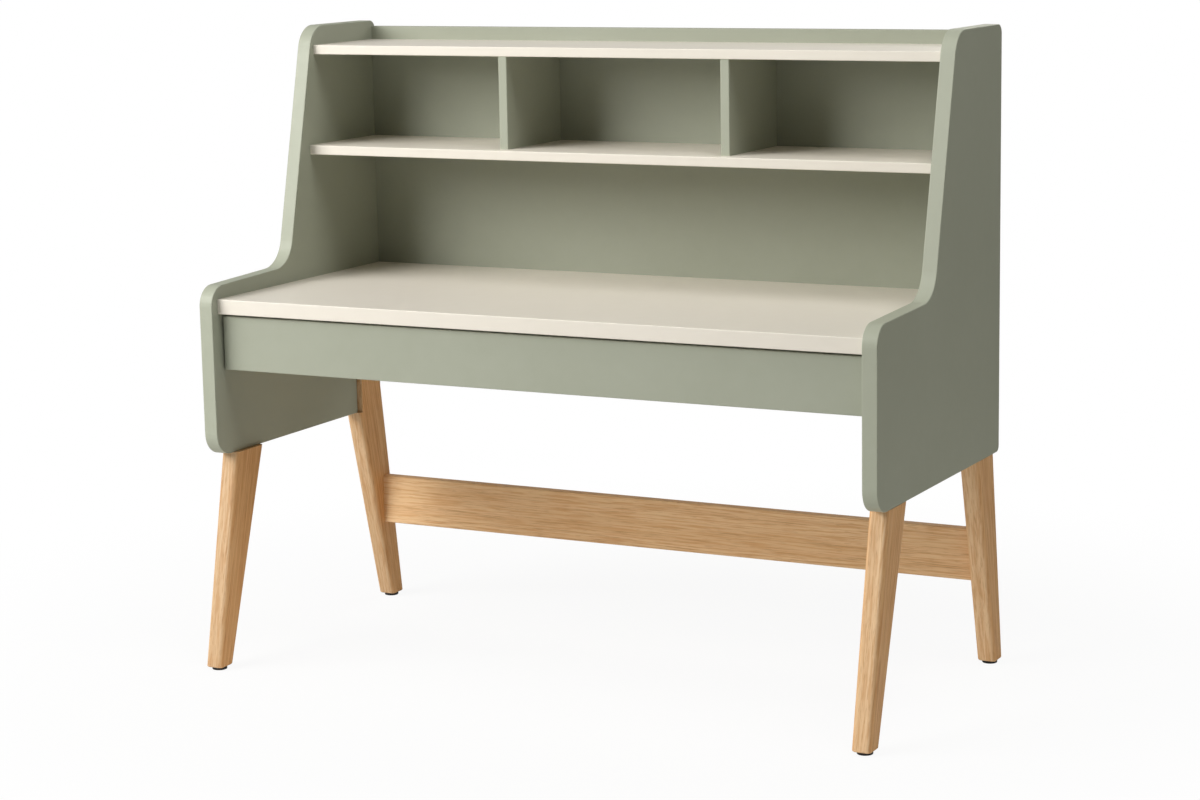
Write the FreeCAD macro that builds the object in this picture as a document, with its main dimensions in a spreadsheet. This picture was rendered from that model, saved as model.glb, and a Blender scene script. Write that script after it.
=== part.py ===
import FreeCAD, Part
import os
import re
import Sketcher
from FreeCAD import Placement, Rotation, Vector

# Student desk with a hutch: painted side panels and back, pale shelves and
# desktop, a wide drawer on telescopic runners, and four tapered oak legs with
# a rear stretcher and levelling feet. Millimetres, +Z up, +Y to the rear, the
# origin on the floor under the middle of the desk.

DRIVING = {
    # Heights, counted upwards from one board to the next.
    "desktop_height": 625,
    "desktop_thickness": 25,
    "reading_space": 213,
    "shelf_thickness": 16,
    "bay_height": 155,
    "back_lip": 23,
    "side_lip": 10,
    "apron_depth": 238,
    # Side panels. Depths are counted from the panels' front edge.
    "desk_width": 1200,
    "side_thickness": 25,
    "side_depth": 536,
    "arm_front_rise": 21,
    "arm_rear_rise": 29,
    "arm_length": 236,
    "hutch_nose_depth": 331,
    "arm_nose_radius": 34,
    "arm_fillet_radius": 55,
    "hutch_nose_radius": 45,
    "top_rear_radius": 16,
    "bottom_front_radius": 38,
    "bottom_rear_radius": 10,
    "board_ease": 1.5,
    # Desktop, back panel, shelves and dividers. The shelves' recess is
    # counted from the sloping edge of the side panels.
    "desktop_recess": 17,
    "back_thickness": 12,
    "back_skirt": 88,
    "middle_shelf_recess": 31,
    "top_shelf_recess": 12,
    "divider_thickness": 16,
    "divider_offset": 204,
    "divider_recess": 2,
    # Legs, stretcher and feet. The rear legs reach up into the panels with a
    # lap, the front legs with a tenon.
    "leg_thickness": 32,
    "leg_inset": 0.5,
    "leg_top_depth": 80,
    "leg_foot_depth": 38,
    "leg_overhang": 28,
    "front_leg_setback": 45,
    "rear_leg_setback": 22,
    "leg_round": 8,
    "leg_foot_bevel": 1.5,
    "tenon_thickness": 12,
    "tenon_width": 44,
    "tenon_height": 45,
    "lap_width": 94,
    "lap_depth": 13,
    "lap_height": 158,
    "lap_round": 3,
    "lap_corner_radius": 9,
    "joint_clearance": 0.2,
    "stretcher_bottom": 147,
    "stretcher_height": 87,
    "stretcher_thickness": 20,
    "stretcher_inset": 12,
    "stretcher_ease": 2.5,
    "foot_height": 6,
    "foot_radius": 12.5,
    "foot_rim": 1.2,
    "stem_radius": 3.9,
    "stem_length": 26,
    "stem_room": 6,
    "thread_clearance": 0.1,
    "insert_radius": 6,
    "insert_length": 18,
    # Drawer.
    "drawer_recess": 26,
    "drawer_front_thickness": 18,
    "drawer_front_height": 90,
    "drawer_top_gap": 4,
    "drawer_side_gap": 3,
    "drawer_board": 12,
    "drawer_box_height": 62,
    "drawer_box_lift": 15,
    "drawer_floor": 6,
    "drawer_floor_lift": 8,
    "groove_depth": 5,
    # Telescopic runners, which end in front of the rear legs' laps.
    "runner_room": 13,
    "runner_height": 45,
    "runner_wall": 1.2,
    "runner_front_gap": 2,
    "runner_rear_gap": 4,
    "runner_play": 0.4,
    "rail_flange": 9,
    "middle_flange": 7.5,
    "middle_stand_off": 3,
    "slide_flange": 7.5,
    # Fasteners and how far they stand from the ends of their boards.
    "dowel_radius": 4,
    "dowel_in_panel": 12,
    "dowel_in_board": 22,
    "thin_dowel_radius": 3,
    "thin_dowel_in_face": 8,
    "thin_dowel_in_edge": 18,
    "dowel_clearance": 0.1,
    "hole_end_room": 1,
    "screw_radius": 2,
    "screw_length": 14,
    "screw_head_radius": 3.8,
    "screw_head_height": 1.2,
    "back_screw_length": 34,
    "countersink_depth": 2.4,
    "screw_clearance": 0.1,
    "face_screw_cover": 4,
    "desktop_dowel_margin": 60,
    "shelf_dowel_margin": 45,
    "divider_dowel_margin": 40,
    "stretcher_dowel_margin": 22,
    "lap_dowel_margin": 20,
    "lap_dowel_spread": 90,
    "corner_dowel_rise": 8,
    "corner_dowel_drop": 12,
    "back_screw_margin": 120,
    "runner_screw_margin": 35,
    "face_screw_margin": 90,
    "face_screw_offset": 140,
}

# Places that follow from the driving sizes.
DERIVED = {
    "half_width": "desk_width / 2",
    "inner_half": "half_width - side_thickness",
    "front": "-side_depth / 2",
    "rear": "side_depth / 2",
    "desktop_under": "desktop_height - desktop_thickness",
    "desktop_middle": "desktop_height - desktop_thickness / 2",
    "middle_shelf_under": "desktop_height + reading_space",
    "middle_shelf_middle": "middle_shelf_under + shelf_thickness / 2",
    "middle_shelf_top": "middle_shelf_under + shelf_thickness",
    "top_shelf_under": "middle_shelf_top + bay_height",
    "top_shelf_middle": "top_shelf_under + shelf_thickness / 2",
    "top_shelf_top": "top_shelf_under + shelf_thickness",
    "back_top": "top_shelf_top + back_lip",
    "back_bottom": "desktop_under - back_skirt",
    "side_top": "back_top + side_lip",
    "side_bottom": "desktop_under - apron_depth",
    "arm_front_height": "desktop_height + arm_front_rise",
    "arm_rear_height": "desktop_height + arm_rear_rise",
    "hutch_slope": "(hutch_nose_depth - arm_length) / (side_top - arm_rear_height)",
    "slope_start": "front + arm_length - arm_rear_height * hutch_slope",
    "back_front": "rear - back_thickness",
    "desktop_front": "front + desktop_recess",
    "middle_shelf_front": "slope_start + middle_shelf_middle * hutch_slope + middle_shelf_recess",
    "top_shelf_front": "slope_start + top_shelf_middle * hutch_slope + top_shelf_recess",
    "divider_front": "top_shelf_front + divider_recess",
    "divider_inner": "divider_offset - divider_thickness / 2",
    "divider_outer": "divider_offset + divider_thickness / 2",
    "leg_outer": "half_width - leg_inset",
    "leg_inner": "leg_outer - leg_thickness",
    "leg_middle": "leg_outer - leg_thickness / 2",
    "leg_height": "side_bottom - foot_height",
    "front_leg_lean": "leg_overhang + front_leg_setback",
    "rear_leg_lean": "leg_overhang + rear_leg_setback",
    "front_foot_y": "front - leg_overhang + leg_foot_depth / 2",
    "rear_foot_y": "rear + leg_overhang - leg_foot_depth / 2",
    "tenon_x": "half_width - side_thickness / 2",
    "tenon_y": "front + front_leg_setback + leg_top_depth / 2",
    "lap_front": "side_depth - lap_width",
    "lap_y": "front + lap_front",
    "lap_top": "side_bottom + lap_height",
    "lap_floor": "inner_half + lap_depth",
    "lap_middle": "side_bottom + lap_height / 2",
    "lap_rear": "side_depth - rear_leg_setback",
    "lap_rear_at_top": "lap_rear - lap_height * rear_leg_lean / leg_height",
    "stretcher_rear": "rear - stretcher_inset",
    "stretcher_front": "stretcher_rear - stretcher_thickness",
    "stretcher_middle": "stretcher_rear - stretcher_thickness / 2",
    "stretcher_top": "stretcher_bottom + stretcher_height",
    "drawer_face": "front + drawer_recess",
    "drawer_front_back": "drawer_face + drawer_front_thickness",
    "drawer_front_top": "desktop_under - drawer_top_gap",
    "drawer_front_bottom": "drawer_front_top - drawer_front_height",
    "drawer_half": "inner_half - drawer_side_gap",
    "runner_front": "drawer_front_back + runner_front_gap",
    "runner_rear": "lap_y - runner_rear_gap",
    "box_half": "inner_half - runner_room",
    "box_inner_half": "box_half - drawer_board",
    "box_bottom": "drawer_front_bottom + drawer_box_lift",
    "box_top": "box_bottom + drawer_box_height",
    "box_middle": "box_bottom + drawer_box_height / 2",
    "box_rear": "runner_rear + runner_front_gap",
    "box_front_rear": "drawer_front_back + drawer_board",
    "box_back_front": "box_rear - drawer_board",
    "floor_low": "box_bottom + drawer_floor_lift",
    "floor_high": "floor_low + drawer_floor",
    "rail_half": "runner_height / 2",
    "middle_half": "rail_half - runner_wall - runner_play",
    "slide_half": "middle_half - runner_wall - runner_play",
    "middle_web": "inner_half - middle_stand_off",
}

doc = FreeCAD.newDocument("StudentDesk")
sheet = doc.addObject("Spreadsheet::Sheet", "Sizes")
for row, (alias, number) in enumerate(DRIVING.items(), start=1):
    sheet.set(f"A{row}", alias)
    sheet.set(f"B{row}", str(number))
    sheet.setAlias(f"B{row}", alias)
for row, (alias, formula) in enumerate(DERIVED.items(), start=len(DRIVING) + 1):
    sheet.set(f"A{row}", alias)
    sheet.set(f"B{row}", "=" + formula)
    sheet.setAlias(f"B{row}", alias)
doc.recompute()

ALIASES = set(DRIVING) | set(DERIVED)
TURNS = {
    "x": Rotation(Vector(0, 0, 1), Vector(1, 0, 0)),
    "-x": Rotation(Vector(0, 0, 1), Vector(-1, 0, 0)),
    "-y": Rotation(Vector(0, 0, 1), Vector(0, -1, 0)),
    "z": Rotation(),
}
NEAR = 0.001
nodes = []


def sized(formula):
    """Point every alias in a formula at its cell of the sheet."""
    return re.sub(r"[a-z_]+", lambda word: "Sizes." + word[0] if word[0] in ALIASES else word[0], formula)


def number_of(formula):
    """A formula's value at the sheet's present sizes."""
    return float(sheet.evalExpression(formula))


def place(piece, x="0", y="0", z="0"):
    for axis, formula in zip("xyz", (x, y, z)):
        piece.setExpression(f".Placement.Base.{axis}", sized(formula))


def box(name, x, y, z):
    """A block between a low and a high formula along each axis."""
    piece = doc.addObject("Part::Box", name)
    for side, (low, high) in zip(("Length", "Width", "Height"), (x, y, z)):
        piece.setExpression(side, sized(f"({high}) - ({low})"))
    place(piece, x[0], y[0], z[0])
    return piece


def rod(name, direction, start, radius, length):
    """A round bar from its start point along a direction."""
    piece = doc.addObject("Part::Cylinder", name)
    piece.Placement = Placement(Vector(), TURNS[direction])
    piece.setExpression("Radius", sized(radius))
    piece.setExpression("Height", sized(length))
    place(piece, *start)
    return piece


def cone(name, direction, start, start_radius, end_radius, length):
    piece = doc.addObject("Part::Cone", name)
    piece.Placement = Placement(Vector(), TURNS[direction])
    piece.setExpression("Radius1", sized(start_radius))
    piece.setExpression("Radius2", sized(end_radius))
    piece.setExpression("Height", sized(length))
    place(piece, *start)
    return piece


def group(name, pieces):
    piece = doc.addObject("Part::Compound", name)
    piece.Links = pieces
    return piece


def cut(name, base, tools):
    piece = doc.addObject("Part::Cut", name)
    piece.Base = base
    piece.Tool = group(name + "_tools", tools)
    return piece


def fuse(name, first, second):
    piece = doc.addObject("Part::Fuse", name)
    piece.Base = first
    piece.Tool = second
    piece.Refine = True
    return piece


def mirrored(name, source):
    """The same piece on the other side of the desk's middle plane."""
    piece = doc.addObject("Part::Mirroring", name)
    piece.Source = source
    piece.Normal = Vector(1, 0, 0)
    return piece


def node(name, piece):
    piece.Label = name
    nodes.append(piece)
    return piece


def node_pair(name, right_piece):
    """A right-hand piece and its left-hand mirror image; name holds a {} for the side."""
    node(name.format("right"), right_piece)
    node(name.format("left"), mirrored(name.format("left"), right_piece))


def edges_along(shape, direction, **places):
    """Numbers of the straight edges along an axis, at the given coordinates of their middle."""
    axis = {"x": Vector(1, 0, 0), "y": Vector(0, 1, 0), "z": Vector(0, 0, 1)}[direction]
    found = []
    for number, edge in enumerate(shape.Edges, start=1):
        middle = edge.CenterOfMass
        along = abs(edge.tangentAt(edge.FirstParameter).dot(axis)) > 1 - NEAR
        if along and all(abs(getattr(middle, key) - place_at) < NEAR for key, place_at in places.items()):
            found.append(number)
    return found


def eased(name, source, radius_alias, choices):
    """Round chosen straight edges of a board; each choice is a direction and its coordinates."""
    doc.recompute()
    radius = number_of(radius_alias)
    numbers = []
    for direction, places in choices:
        numbers += edges_along(source.Shape, direction, **places)
    piece = doc.addObject("Part::Fillet", name)
    piece.Base = source
    piece.Edges = [(number, radius, radius) for number in sorted(set(numbers))]
    return piece


def outline_body(name, corners, thickness):
    """A flat piece: its outline in depth and height, padded across the desk's width."""
    body = doc.addObject("PartDesign::Body", name)
    sketch = body.newObject("Sketcher::SketchObject", name + "_outline")
    side_plane = [plane for plane in body.Origin.OriginFeatures if plane.Role == "YZ_Plane"][0]
    sketch.AttachmentSupport = [(side_plane, "")]
    sketch.MapMode = "FlatFace"
    start_points = [Vector(number_of(depth), number_of(height), 0) for depth, height in corners]
    for number, point in enumerate(start_points):
        sketch.addGeometry(Part.LineSegment(point, start_points[(number + 1) % len(corners)]))
    for number in range(len(corners)):
        sketch.addConstraint(Sketcher.Constraint("Coincident", number, 2, (number + 1) % len(corners), 1))
    for number, (corner, point) in enumerate(zip(corners, start_points)):
        for kind, formula, start in (("DistanceX", corner[0], point.x), ("DistanceY", corner[1], point.y)):
            held = sketch.addConstraint(Sketcher.Constraint(kind, -1, 1, number, 1, start))
            sketch.setExpression(f"Constraints[{held}]", sized(formula))
    pad = body.newObject("PartDesign::Pad", name + "_pad")
    pad.Profile = sketch
    pad.setExpression("Length", sized(thickness))
    doc.recompute()
    return body


def round_edges(body, kind, size_property, size, numbers):
    """Add a fillet or chamfer to a body's last feature."""
    feature = body.newObject("PartDesign::" + kind, f"{body.Name}_{kind}_{size}")
    feature.Base = (feature.BaseFeature, [f"Edge{number}" for number in numbers])
    feature.setExpression(size_property, sized(size))
    doc.recompute()


# Fasteners: each kind gives its solids and the holes that they sit in.


def dowel(name, direction, start, radius, length):
    """A dowel from its blind end, and the hole that it is glued into."""
    pin = rod(name, direction, start, radius, length)
    sign = "-1" if direction.startswith("-") else "1"
    axis = "xyz".index(direction[-1])
    hole_start = list(start)
    hole_start[axis] = f"({start[axis]}) - {sign} * hole_end_room"
    hole = rod(name + "_hole", direction, hole_start, f"{radius} + dowel_clearance",
               f"{length} + 2 * hole_end_room")
    return pin, hole


def pan_screw(name, direction, seat, length):
    """A pan-head screw whose head sits on a face, and the hole for its shank."""
    sign = "-1" if direction.startswith("-") else "1"
    axis = "xyz".index(direction[-1])
    head_start = list(seat)
    head_start[axis] = f"({seat[axis]}) - {sign} * screw_head_height"
    head = rod(name + "_head", direction, head_start, "screw_head_radius", "screw_head_height")
    shank = rod(name + "_shank", direction, seat, "screw_radius", length)
    hole = rod(name + "_hole", direction, seat, "screw_radius + screw_clearance", f"{length} + hole_end_room")
    return fuse(name, head, shank), hole


def sunk_screw(name, direction, seat, length):
    """A countersunk screw flush with a face, and its hole."""
    head = cone(name + "_head", direction, seat, "screw_head_radius", "screw_radius", "countersink_depth")
    shank = rod(name + "_shank", direction, seat, "screw_radius", length)
    head_hole = cone(name + "_head_hole", direction, seat, "screw_head_radius + screw_clearance",
                     "screw_radius + screw_clearance", "countersink_depth")
    shank_hole = rod(name + "_shank_hole", direction, seat, "screw_radius + screw_clearance",
                     f"{length} + hole_end_room")
    return fuse(name, head, shank), fuse(name + "_hole", head_hole, shank_hole)


def both_sides(name, pairs):
    """Right-hand fasteners and holes with their mirror images."""
    solids = group(name + "_solids", [solid for solid, hole in pairs])
    holes = group(name + "_holes", [hole for solid, hole in pairs])
    return [solids, mirrored(name + "_left_solids", solids)], holes, mirrored(name + "_left_holes", holes)


# Dowels of the desktop and shelves into the side panels.

panel_dowel_length = "dowel_in_panel + dowel_in_board"
panel_dowel_start = "inner_half - dowel_in_board"
desktop_dowel_depths = ("desktop_front + desktop_dowel_margin", "(desktop_front + back_front) / 2",
                        "back_front - desktop_dowel_margin")
desktop_solids, desktop_holes, desktop_left_holes = both_sides("desktop_dowel", [
    dowel(f"desktop_dowel_{count}", "x", (panel_dowel_start, depth, "desktop_middle"),
          "dowel_radius", panel_dowel_length)
    for count, depth in enumerate(desktop_dowel_depths)])
node("desktop_dowels", group("desktop_dowels", desktop_solids))


def shelf_dowels(name):
    """Two dowels at each end of a shelf."""
    depths = (f"{name}_front + shelf_dowel_margin", "back_front - shelf_dowel_margin")
    return both_sides(name + "_dowel", [
        dowel(f"{name}_dowel_{count}", "x", (panel_dowel_start, depth, f"{name}_middle"),
              "thin_dowel_radius", panel_dowel_length)
        for count, depth in enumerate(depths)])


middle_solids, middle_holes, middle_left_holes = shelf_dowels("middle_shelf")
top_solids, top_holes, top_left_holes = shelf_dowels("top_shelf")
node("shelf_dowels", group("shelf_dowels", middle_solids + top_solids))

# Dowels that stand in the dividers' ends and go into the shelves.

divider_pairs = []
divider_dowel_depths = ("divider_front + divider_dowel_margin", "back_front - divider_dowel_margin")
for count, depth in enumerate(divider_dowel_depths):
    divider_pairs.append(dowel(f"divider_foot_dowel_{count}", "z",
                               ("divider_offset", depth, "middle_shelf_top - thin_dowel_in_face"),
                               "thin_dowel_radius", "thin_dowel_in_face + thin_dowel_in_edge"))
    divider_pairs.append(dowel(f"divider_head_dowel_{count}", "z",
                               ("divider_offset", depth, "top_shelf_under - thin_dowel_in_edge"),
                               "thin_dowel_radius", "thin_dowel_in_face + thin_dowel_in_edge"))
divider_solids, divider_holes, divider_left_holes = both_sides("divider_dowel", divider_pairs)
node("divider_dowels", group("divider_dowels", divider_solids))

# Screws from behind through the back panel into the boards' rear edges.

back_screw_pairs = []
for board in ("desktop", "middle_shelf", "top_shelf"):
    for count, across in enumerate(("divider_offset / 2", "inner_half - back_screw_margin")):
        back_screw_pairs.append(sunk_screw(f"{board}_back_screw_{count}", "-y",
                                           (across, "rear", f"{board}_middle"), "back_screw_length"))
back_screws, back_screw_holes, back_screw_left_holes = both_sides("back_screw", back_screw_pairs)
node("back_panel_screws", group("back_panel_screws", back_screws))

# Screws of the runners' rails into the side panels, and of the slides into the drawer's sides.

runner_screw_depths = ("runner_front + runner_screw_margin", "(runner_front + runner_rear) / 2",
                       "runner_rear - runner_screw_margin")
rail_screws, rail_holes, rail_left_holes = both_sides("rail_screw", [
    pan_screw(f"rail_screw_{count}", "x", ("inner_half - runner_wall", depth, "box_middle"), "screw_length")
    for count, depth in enumerate(runner_screw_depths)])
node("rail_screws", group("rail_screws", rail_screws))
slide_screws, slide_holes, slide_left_holes = both_sides("slide_screw", [
    pan_screw(f"slide_screw_{count}", "-x", ("box_half + runner_wall", depth, "box_middle"),
              "drawer_board - runner_wall")
    for count, depth in enumerate(runner_screw_depths)])
node("slide_screws", group("slide_screws", slide_screws))

# Dowels that hold the rear legs' laps in the panels' rebates, and the stretcher between the legs.

lap_dowel_start = "lap_floor - thin_dowel_in_face"
lap_solids, lap_holes, lap_left_holes = both_sides("lap_dowel", [
    dowel(f"lap_dowel_{count}", "x", (lap_dowel_start, "lap_y + lap_dowel_margin", height),
          "thin_dowel_radius", "2 * thin_dowel_in_face")
    for count, height in enumerate(("lap_middle - lap_dowel_spread / 2",
                                    "lap_middle + lap_dowel_spread / 2"))])
node("lap_dowels", group("lap_dowels", lap_solids))
stretcher_solids, stretcher_holes, stretcher_left_holes = both_sides("stretcher_dowel", [
    dowel(f"stretcher_dowel_{count}", "x", ("leg_inner - dowel_in_board", "stretcher_middle", height),
          "dowel_radius", panel_dowel_length)
    for count, height in enumerate(("stretcher_bottom + stretcher_dowel_margin",
                                    "stretcher_top - stretcher_dowel_margin"))])
node("stretcher_dowels", group("stretcher_dowels", stretcher_solids))

# Side panels: one board each, with a sloping hutch front, a rebate for the
# rear leg's lap and a mortise for the front leg's tenon.

side_body = outline_body("side_board", [
    ("0", "side_bottom"),
    ("side_depth", "side_bottom"),
    ("side_depth", "side_top"),
    ("hutch_nose_depth", "side_top"),
    ("arm_length", "arm_rear_height"),
    ("0", "arm_front_height"),
], "side_thickness")
place(side_body, "inner_half", "front", "0")
doc.recompute()
corner_rounds = (
    ("front", "side_bottom", "bottom_front_radius"),
    ("rear", "side_bottom", "bottom_rear_radius"),
    ("rear", "side_top", "top_rear_radius"),
    ("front + hutch_nose_depth", "side_top", "hutch_nose_radius"),
    ("front + arm_length", "arm_rear_height", "arm_fillet_radius"),
    ("front", "arm_front_height", "arm_nose_radius"),
)


for corner_y, corner_z, corner_radius in corner_rounds:
    here = {"y": number_of(corner_y), "z": number_of(corner_z)}
    round_edges(side_body, "Fillet", "Radius", corner_radius, edges_along(side_body.Shape, "x", **here))
face_edges = [number for number, edge in enumerate(side_body.Shape.Edges, start=1)
              if abs(edge.BoundBox.XLength) < NEAR]
round_edges(side_body, "Fillet", "Radius", "board_ease", face_edges)

rebate = box("lap_rebate", ("inner_half - leg_thickness", "lap_floor + joint_clearance"),
             ("lap_y - joint_clearance", "rear + leg_overhang"),
             ("side_bottom - leg_height", "lap_top + joint_clearance"))
mortise = box("tenon_mortise",
              ("tenon_x - tenon_thickness / 2 - joint_clearance",
               "tenon_x + tenon_thickness / 2 + joint_clearance"),
              ("tenon_y - tenon_width / 2 - joint_clearance", "tenon_y + tenon_width / 2 + joint_clearance"),
              ("side_bottom - tenon_height", "side_bottom + tenon_height + hole_end_room"))
rebated_side = cut("rebated_side", side_body, [rebate, mortise])
rounded_side = eased("rounded_side", rebated_side, "lap_corner_radius",
                     [("x", {"y": number_of("lap_y - joint_clearance"), "z": number_of("side_bottom")})])
right_side = cut("right_side_panel", rounded_side,
                 [desktop_holes, middle_holes, top_holes, rail_holes, lap_holes])
node_pair("{}_side_panel", right_side)

# Desktop, shelves, dividers and back: flat boards with eased front edges.

across_inside = ("-inner_half", "inner_half")
desktop_board = box("desktop_board", across_inside, ("desktop_front", "back_front"),
                    ("desktop_under", "desktop_height"))
desktop_round = eased("desktop_round", desktop_board, "board_ease",
                      [("x", {"y": number_of("desktop_front")})])
node("desktop", cut("desktop", desktop_round,
                    [desktop_holes, desktop_left_holes, back_screw_holes, back_screw_left_holes]))


def shelf(name, tools):
    """A shelf between the side panels, in front of the back panel."""
    board = box(name + "_board", across_inside, (name + "_front", "back_front"),
                (name + "_under", name + "_top"))
    rounded = eased(name + "_round", board, "board_ease", [("x", {"y": number_of(name + "_front")})])
    node(name, cut(name, rounded, tools + [divider_holes, divider_left_holes,
                                           back_screw_holes, back_screw_left_holes]))


shelf("middle_shelf", [middle_holes, middle_left_holes])
shelf("top_shelf", [top_holes, top_left_holes])

divider_board = box("divider_board", ("divider_inner", "divider_outer"), ("divider_front", "back_front"),
                    ("middle_shelf_top", "top_shelf_under"))
divider_round = eased("divider_round", divider_board, "board_ease",
                      [("z", {"y": number_of("divider_front")})])
node_pair("{}_divider", cut("right_divider", divider_round, [divider_holes]))

back_board = box("back_board", across_inside, ("back_front", "rear"), ("back_bottom", "back_top"))
back_round = eased("back_round", back_board, "board_ease", [("x", {"z": number_of("back_top")})])
node("back_panel", cut("back_panel", back_round, [back_screw_holes, back_screw_left_holes]))

# Legs: tapered oak boards that lean outwards, with rounded long edges.


def leg_body(name, lean, leaning_forward):
    """A leg's tapered outline, with its long edges rounded and its foot bevelled."""
    body = outline_body(name, [
        ("0", "foot_height"),
        ("leg_foot_depth", "foot_height"),
        (f"{lean} + leg_top_depth", "side_bottom"),
        (lean, "side_bottom"),
    ], "leg_thickness")
    long_edges = [number for number, edge in enumerate(body.Shape.Edges, start=1)
                  if edge.BoundBox.ZLength > NEAR]
    round_edges(body, "Fillet", "Radius", "leg_round", long_edges)
    foot_edges = [number for number, edge in enumerate(body.Shape.Edges, start=1)
                  if abs(edge.BoundBox.ZMax - number_of("foot_height")) < NEAR]
    round_edges(body, "Chamfer", "Size", "leg_foot_bevel", foot_edges)
    if leaning_forward:
        place(body, "leg_inner", "front - leg_overhang", "0")
    else:
        body.Placement = Placement(Vector(), Rotation(Vector(0, 0, 1), 180))
        place(body, "leg_outer", "rear + leg_overhang", "0")
    return body


def foot_hole(name, foot_y):
    """The stepped hole in a leg's foot: a wide mouth for the insert, and room for the stem above it."""
    wide = rod(name + "_wide", "z", ("leg_middle", foot_y, "0"), "insert_radius + dowel_clearance",
               "foot_height + insert_length")
    deep = rod(name + "_deep", "z", ("leg_middle", foot_y, "0"), "stem_radius + 2 * thread_clearance",
               "foot_height + stem_length + stem_room")
    return fuse(name, wide, deep)


front_leg = leg_body("front_leg_board", "front_leg_lean", True)
tenon = box("tenon", ("tenon_x - tenon_thickness / 2", "tenon_x + tenon_thickness / 2"),
            ("tenon_y - tenon_width / 2", "tenon_y + tenon_width / 2"),
            ("side_bottom - tenon_height / 2", "side_bottom + tenon_height"))
front_leg_joined = fuse("front_leg_joined", front_leg, tenon)
node_pair("front_{}_leg", cut("front_right_leg", front_leg_joined,
                              [foot_hole("front_foot_hole", "front_foot_y")]))

rear_leg = leg_body("rear_leg_board", "rear_leg_lean", False)
lap_board = outline_body("lap_board", [
    ("lap_front", "side_bottom"),
    ("lap_rear", "side_bottom"),
    ("lap_rear_at_top", "lap_top"),
    ("lap_front", "lap_top"),
], "lap_floor - leg_inner")
lap_edges = edges_along(lap_board.Shape, "z", x=0.0)
round_edges(lap_board, "Fillet", "Radius", "lap_round", lap_edges)
sloping_edges = [number for number, edge in enumerate(lap_board.Shape.Edges, start=1)
                 if edge.BoundBox.XMax < NEAR < min(edge.BoundBox.YLength, edge.BoundBox.ZLength)]
round_edges(lap_board, "Fillet", "Radius", "leg_round", sloping_edges)
place(lap_board, "leg_inner", "front", "0")
rear_leg_joined = fuse("rear_leg_joined", rear_leg, lap_board)
node_pair("rear_{}_leg", cut("rear_right_leg", rear_leg_joined,
                             [foot_hole("rear_foot_hole", "rear_foot_y"), lap_holes, stretcher_holes]))

# Stretcher: one oak board between the rear legs.

stretcher_board = box("stretcher_board", ("-leg_inner", "leg_inner"), ("stretcher_front", "stretcher_rear"),
                      ("stretcher_bottom", "stretcher_top"))
stretcher_round = eased("stretcher_round", stretcher_board, "stretcher_ease", [("x", {})])
node("rear_stretcher", cut("rear_stretcher", stretcher_round, [stretcher_holes, stretcher_left_holes]))

# Feet: a threaded steel insert in each leg, and a plastic disc on a threaded stem.


def foot(name, foot_y):
    """A levelling foot: a disc with an eased rim and a stem that screws into the leg."""
    disc = rod(name + "_disc", "z", ("leg_middle", foot_y, "0"), "foot_radius", "foot_height")
    doc.recompute()
    rim = [(number, number_of("foot_rim"), number_of("foot_rim"))
           for number, edge in enumerate(disc.Shape.Edges, start=1) if len(edge.Vertexes) == 1]
    rounded = doc.addObject("Part::Fillet", name + "_rounded")
    rounded.Base = disc
    rounded.Edges = rim
    stem = rod(name + "_stem", "z", ("leg_middle", foot_y, "foot_height / 2"), "stem_radius",
               "foot_height / 2 + stem_length")
    return fuse(name, rounded, stem)


def insert(name, foot_y):
    """A threaded insert, pressed into the leg flush with its end."""
    sleeve = rod(name + "_sleeve", "z", ("leg_middle", foot_y, "foot_height"), "insert_radius",
                 "insert_length")
    bore = rod(name + "_bore", "z", ("leg_middle", foot_y, "0"), "stem_radius + thread_clearance",
               "foot_height + 2 * insert_length")
    return cut(name, sleeve, [bore])


node_pair("front_{}_foot", foot("front_right_foot", "front_foot_y"))
node_pair("rear_{}_foot", foot("rear_right_foot", "rear_foot_y"))
right_inserts = group("right_inserts", [insert("front_insert", "front_foot_y"),
                                        insert("rear_insert", "rear_foot_y")])
node("leg_inserts", group("leg_inserts", [right_inserts, mirrored("left_inserts", right_inserts)]))

# Drawer: a painted front on a box of four boards, with a floor in grooves.

corner_dowel_pairs = []
corner_dowel_depths = ("drawer_front_back + drawer_board / 2", "box_rear - drawer_board / 2")
for corner_count, corner_y in enumerate(corner_dowel_depths):
    for count, height in enumerate(("floor_high + corner_dowel_rise", "box_top - corner_dowel_drop")):
        corner_dowel_pairs.append(dowel(f"corner_dowel_{corner_count}_{count}", "x",
                                        ("box_inner_half - thin_dowel_in_edge", corner_y, height),
                                        "thin_dowel_radius", "thin_dowel_in_face + thin_dowel_in_edge"))
corner_dowels, corner_holes, corner_left_holes = both_sides("corner_dowel", corner_dowel_pairs)
node("drawer_corner_dowels", group("drawer_corner_dowels", corner_dowels))

face_screws, face_holes, face_left_holes = both_sides("face_screw", [
    pan_screw(f"face_screw_{count}", "-y", (across, "box_front_rear", "box_middle"),
              "drawer_board + drawer_front_thickness - face_screw_cover")
    for count, across in enumerate(("face_screw_offset", "box_inner_half - face_screw_margin"))])
node("drawer_front_screws", group("drawer_front_screws", face_screws))

front_board = box("front_board", ("-drawer_half", "drawer_half"), ("drawer_face", "drawer_front_back"),
                  ("drawer_front_bottom", "drawer_front_top"))
doc.recompute()
face_y = number_of("drawer_face")
front_round = eased("front_round", front_board, "board_ease", [("x", {"y": face_y}), ("z", {"y": face_y})])
node("drawer_front", cut("drawer_front", front_round, [face_holes, face_left_holes]))

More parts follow.
